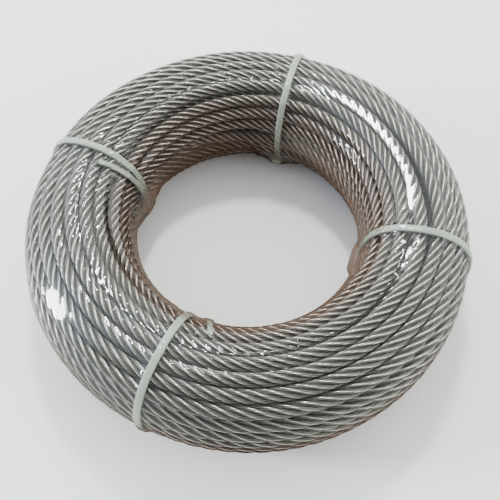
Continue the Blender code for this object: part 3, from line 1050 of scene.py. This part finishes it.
class WIREROPE_OT_film(bpy.types.Operator):
    """Shrink the clear film over the turns, the ties, their heads and free ends."""

    bl_idname = "wirerope.film"
    bl_label = "Shrink Film"

    around_count = 600
    section_count = 160

    def execute(self, context):
        film = context.scene.wire_rope_film
        ties = context.scene.wire_rope_ties
        rope = context.scene.wire_rope
        winding = Winding.get(rope)
        azimuths = np.arange(self.around_count) * 360 / self.around_count
        low = -90 + math.degrees(film.open_half)
        angles = np.linspace(low, 180 - low, self.section_count)
        support, crowns = self.rope_reach(winding, azimuths, angles, rope)
        support = np.maximum(support, winding.outline(angles) - film.hollow)
        self.over_ties(support, winding, azimuths, angles, ties)

        pulled = self.pulled(azimuths, angles)
        taut = self.bridge(support, winding, angles, film.taut)
        hugging = np.maximum(self.bridge(support, winding, angles, film.hug), taut - film.dip)
        reach = (1 - pulled) * hugging + pulled * taut
        # Strands press through where the film touches them, less where it is taut
        touch_depth, clearance, smoothed = 0.3 * MM, 0.12 * MM, 0.65
        touch = np.exp(-((reach - support) / touch_depth) ** 2)
        reach = reach + clearance + film.ripple * crowns * touch * (1 - smoothed * pulled)
        reach += film.stand_off * self.in_bore(azimuths, angles)
        reach += self.flattening(azimuths, angles)
        reach += film.bag * self.bagged(azimuths, angles)

        rays = directions(angles)
        rows = np.stack([in_space(winding, azimuth, rays * row[:, None])
                         for azimuth, row in zip(azimuths, reach)])
        mesh = open_sheet("shrink_film", np.concatenate((rows, rows[:1]))[:, ::-1])
        piece = add_piece("shrink_film", mesh, "film_wrap", clear_film(film))
        close_seam(piece)
        return {"FINISHED"}

    def pulled(self, azimuths, angles):
        """Share by which the film is taut: in its patches, in the bore and at the ties' heads."""
        share = self.in_bore(azimuths, angles)
        head_span, head_arc = TAUT_AT_HEAD
        at_heads = [(tie["azimuth"], head_span, tie["head"], head_arc) for tie in TIES.values()]
        for azimuth, half_span, angle, half_arc in TAUT_PATCHES + at_heads:
            around = degrees_from(azimuths, azimuth) / half_span
            across = (angles - angle) / half_arc
            patch = np.clip(1.5 - 1.5 * (around[:, None] ** 2 + across[None, :] ** 2), 0, 1)
            share = np.maximum(share, patch)
        return share

    def flattening(self, azimuths, angles):
        """Lift that makes the film flatter than the section where a light shows wide in it."""
        lift = np.zeros((len(azimuths), len(angles)))
        for azimuth, half_span, angle, reach, share in FLAT_PATCHES:
            around = np.clip(1 - (degrees_from(azimuths, azimuth) / half_span) ** 4, 0, 1)
            across = SECTION_RADIUS * np.radians(angles - angle)
            profile = share * across ** 2 / (2 * SECTION_RADIUS) * np.exp(-(across / reach) ** 2)
            lift += around[:, None] * profile[None, :]
        return lift

    def bagged(self, azimuths, angles):
        """Share by which the film bags round the head of the right tie, which it doesn't grip."""
        offset, half_span = 1.5, 10
        middle, half_arc = 200, 30
        around = degrees_from(azimuths, TIES["cable_tie_right"]["azimuth"] - offset) / half_span
        across = (angles - middle) / half_arc
        return np.clip(1 - around[:, None] ** 2 - across[None, :] ** 2, 0, 1) ** 0.8

    def in_bore(self, azimuths, angles):
        """Share by which the film's chords stand off the bore, less where a tie holds them."""
        middle, half_arc = 184, 46
        held, let_go = 2, 10
        across = np.clip(1 - ((angles - middle) / half_arc) ** 2, 0, 1) ** 1.5
        free = np.clip((near_tie(azimuths) - held) / let_go, 0, 1)
        return across[None, :] * free[:, None]

    def rope_reach(self, winding, azimuths, angles, rope):
        """How far the rope's surface reaches along each ray, and where its strands' crowns are."""
        rays = directions(angles)
        station_length = math.tau * winding.mean_radius / STATIONS
        reach = np.zeros((len(azimuths), len(angles)))
        crowns = np.zeros_like(reach)
        columns = np.arange(len(angles))
        for row, azimuth in enumerate(azimuths):
            centres = winding.section_at(azimuth)
            places = np.arange(winding.turns) * STATIONS + azimuth / 360 * STATIONS
            twist = places * station_length / rope.lay_length * math.tau
            ahead = centres @ rays.T
            beside = centres[:, :1] * -rays[:, 1] + centres[:, 1:] * rays[:, 0]
            inside = (rope.diameter / 2) ** 2 - beside ** 2
            hit = np.where(inside > 0, ahead + np.sqrt(np.clip(inside, 0, None)), 0)
            top = hit.argmax(0)
            reach[row] = hit[top, columns]
            offset = reach[row][:, None] * rays - centres[top]
            turned = np.arctan2(offset[:, 0], offset[:, 1]) - twist[top]
            crowns[row] = np.cos(STRANDS * turned)
        return reach, crowns

    def over_ties(self, reach, winding, azimuths, angles, ties):
        """Raises the film's support over the straps, heads and free ends."""
        half_width = ties.width / 2 + TIE_MARGIN
        for tie in TIES.values():
            loop = tie_loop(winding, tie["azimuth"], ties.width)
            outside = loop + outward(loop) * ties.thickness
            order = np.argsort(angle_of(outside))
            level = np.interp(angles % 360, angle_of(outside)[order],
                              np.linalg.norm(outside, axis=1)[order], period=360)
            radius = winding.mean_radius + level * np.cos(np.radians(angles))
            beyond = np.radians(degrees_from(angles, tie["head"])) * level
            for row, azimuth in enumerate(azimuths):
                apart = np.radians(degrees_from(azimuth, tie["azimuth"])) * radius
                height = np.where(np.abs(apart) < half_width, level, 0)
                off_head = np.hypot(np.clip(np.abs(apart) - ties.head_width / 2, 0, None),
                                    np.clip(np.abs(beyond) - ties.head_length / 2, 0, None))
                slope = np.clip(1 - off_head / TENT_REACH, 0, 1) ** TENT_POWER
                tent = (ties.head_height - ties.thickness) * slope
                height = np.where(off_head < TENT_REACH, level + tent, height)
                if tie["end"]:
                    share = (tie["head"] - angles) / (tie["head"] - tie["end"])
                    beside = apart - np.radians(end_stray(tie, share)) * radius
                    over_end = (share > 0) & (share < 1) & (np.abs(beside) < half_width)
                    raised = np.maximum(height, level + end_lift(share, ties.thickness))
                    height = np.where(over_end, raised, height)
                reach[row] = np.maximum(reach[row], height)

    def bridge(self, reach, winding, angles, radius):
        """Spans the grooves: a ball rolled over the surface can't go deeper than the film does."""
        step_section = SECTION_RADIUS * math.radians(angles[1] - angles[0])
        step_around = math.tau * winding.mean_radius / len(reach)
        widest = 9 * MM
        limit = min(widest, 0.8 * radius)
        wide = int(limit / step_section)
        long = int(limit / step_around)
        shifts = []
        for down in range(-long, long + 1):
            for side in range(-wide, wide + 1):
                flat = math.hypot(down * step_around, side * step_section)
                if flat < limit:
                    shifts.append((down, side, radius - math.sqrt(radius ** 2 - flat ** 2)))
        for sign, pick in ((1, np.maximum), (-1, np.minimum)):
            best = None
            padded = np.pad(reach, ((0, 0), (wide, wide)), mode="edge")
            for down, side, drop in shifts:
                moved = np.roll(padded, down, 0)[:, wide + side:wide + side + reach.shape[1]]
                candidate = moved - sign * drop
                best = candidate if best is None else pick(best, candidate)
            reach = best
        return reach


# Stage


class WIREROPE_OT_stage(bpy.types.Operator):
    """Set the pale floor, the lights and the camera."""

    bl_idname = "wirerope.stage"
    bl_label = "Set Stage"

    def execute(self, context):
        stage = context.scene.wire_rope_stage
        bpy.ops.object.select_all(action="DESELECT")
        bpy.ops.mesh.primitive_plane_add(size=FLOOR_SIZE)
        floor = bpy.context.object
        floor.name = "floor"
        floor.data.transform(Matrix.Translation((0.0, 0.0, -FLOOR_DROP)))
        floor.data.materials.append(pale_floor(stage))

        target = Vector((0.0, 0.0, COIL_BOTTOM + COIL_HEIGHT / 2))
        self.camera(stage, target)
        for name, (azimuth, elevation, distance, size, power, colour) in LIGHTS.items():
            data = bpy.data.lights.new(name, "AREA")
            data.shape = "SQUARE"
            data.size = size
            data.energy = getattr(stage, power)
            data.color = linear(colour)
            around, up = math.radians(azimuth), math.radians(elevation)
            way = Vector((math.cos(around) * math.cos(up), math.sin(around) * math.cos(up), math.sin(up)))
            self.aim(name, data, target, way, distance)
        context.scene.world = self.room()
        return {"FINISHED"}

    def aim(self, name, data, target, way, distance):
        """Camera or light at a distance from the target in a direction, facing the target."""
        made = bpy.data.objects.new(name, data)
        made.location = target + way * distance
        made.rotation_euler = way.to_track_quat("Z", "Y").to_euler()
        bpy.context.scene.collection.objects.link(made)
        return made

    def camera(self, stage, target):
        """Camera looking along +Y and down, as the photograph does."""
        data = bpy.data.cameras.new("photo_camera")
        data.sensor_width = 36.0
        data.lens = stage.lens
        data.shift_x = stage.shift_x
        data.shift_y = stage.shift_y
        data.clip_start = 0.01
        back = Vector((0.0, -math.cos(stage.elevation), math.sin(stage.elevation)))
        bpy.context.scene.camera = self.aim("photo_camera", data, target, back, stage.distance)

    def room(self):
        """White room, dimmer on the camera's side."""
        world = bpy.data.worlds.new("soft_room")
        world.use_nodes = True
        tree = world.node_tree
        way = add_node(tree, "TexCoord")
        parts = add_node(tree, "SeparateXYZ", (way.outputs["Generated"],))
        strength = add_node(tree, "MapRange", (parts.outputs["Y"], -0.8, 0.8, 0.5, 2.3))
        background = tree.nodes["Background"]
        background.inputs["Color"].default_value = (*linear("ffffff"), 1.0)
        tree.links.new(strength.outputs[0], background.inputs["Strength"])
        return world


class WIREROPE_PT_panel(bpy.types.Panel):
    """Lists the coil's operators."""

    bl_label = "Wire Rope Coil"
    bl_space_type = "VIEW_3D"
    bl_region_type = "UI"
    bl_category = "Wire Rope"

    def draw(self, context):
        for operator in OPERATORS:
            self.layout.operator(operator.bl_idname)


SETTINGS = {
    "wire_rope": RopeSettings,
    "wire_rope_ties": TieSettings,
    "wire_rope_film": FilmSettings,
    "wire_rope_stage": StageSettings,
}
OPERATORS = (WIREROPE_OT_rope, WIREROPE_OT_ties, WIREROPE_OT_film, WIREROPE_OT_stage)


def register():
    for name, settings in SETTINGS.items():
        bpy.utils.register_class(settings)
        setattr(bpy.types.Scene, name, PointerProperty(type=settings))
    for operator in OPERATORS:
        bpy.utils.register_class(operator)
    bpy.utils.register_class(WIREROPE_PT_panel)


def unregister():
    bpy.utils.unregister_class(WIREROPE_PT_panel)
    for operator in reversed(OPERATORS):
        bpy.utils.unregister_class(operator)
    for name, settings in reversed(SETTINGS.items()):
        delattr(bpy.types.Scene, name)
        bpy.utils.unregister_class(settings)


def main():
    """Builds the whole scene in order."""
    register()
    bpy.ops.wirerope.rope()
    bpy.ops.wirerope.ties()
    bpy.ops.wirerope.film()
    bpy.ops.wirerope.stage()


if __name__ == "__main__":
    main()
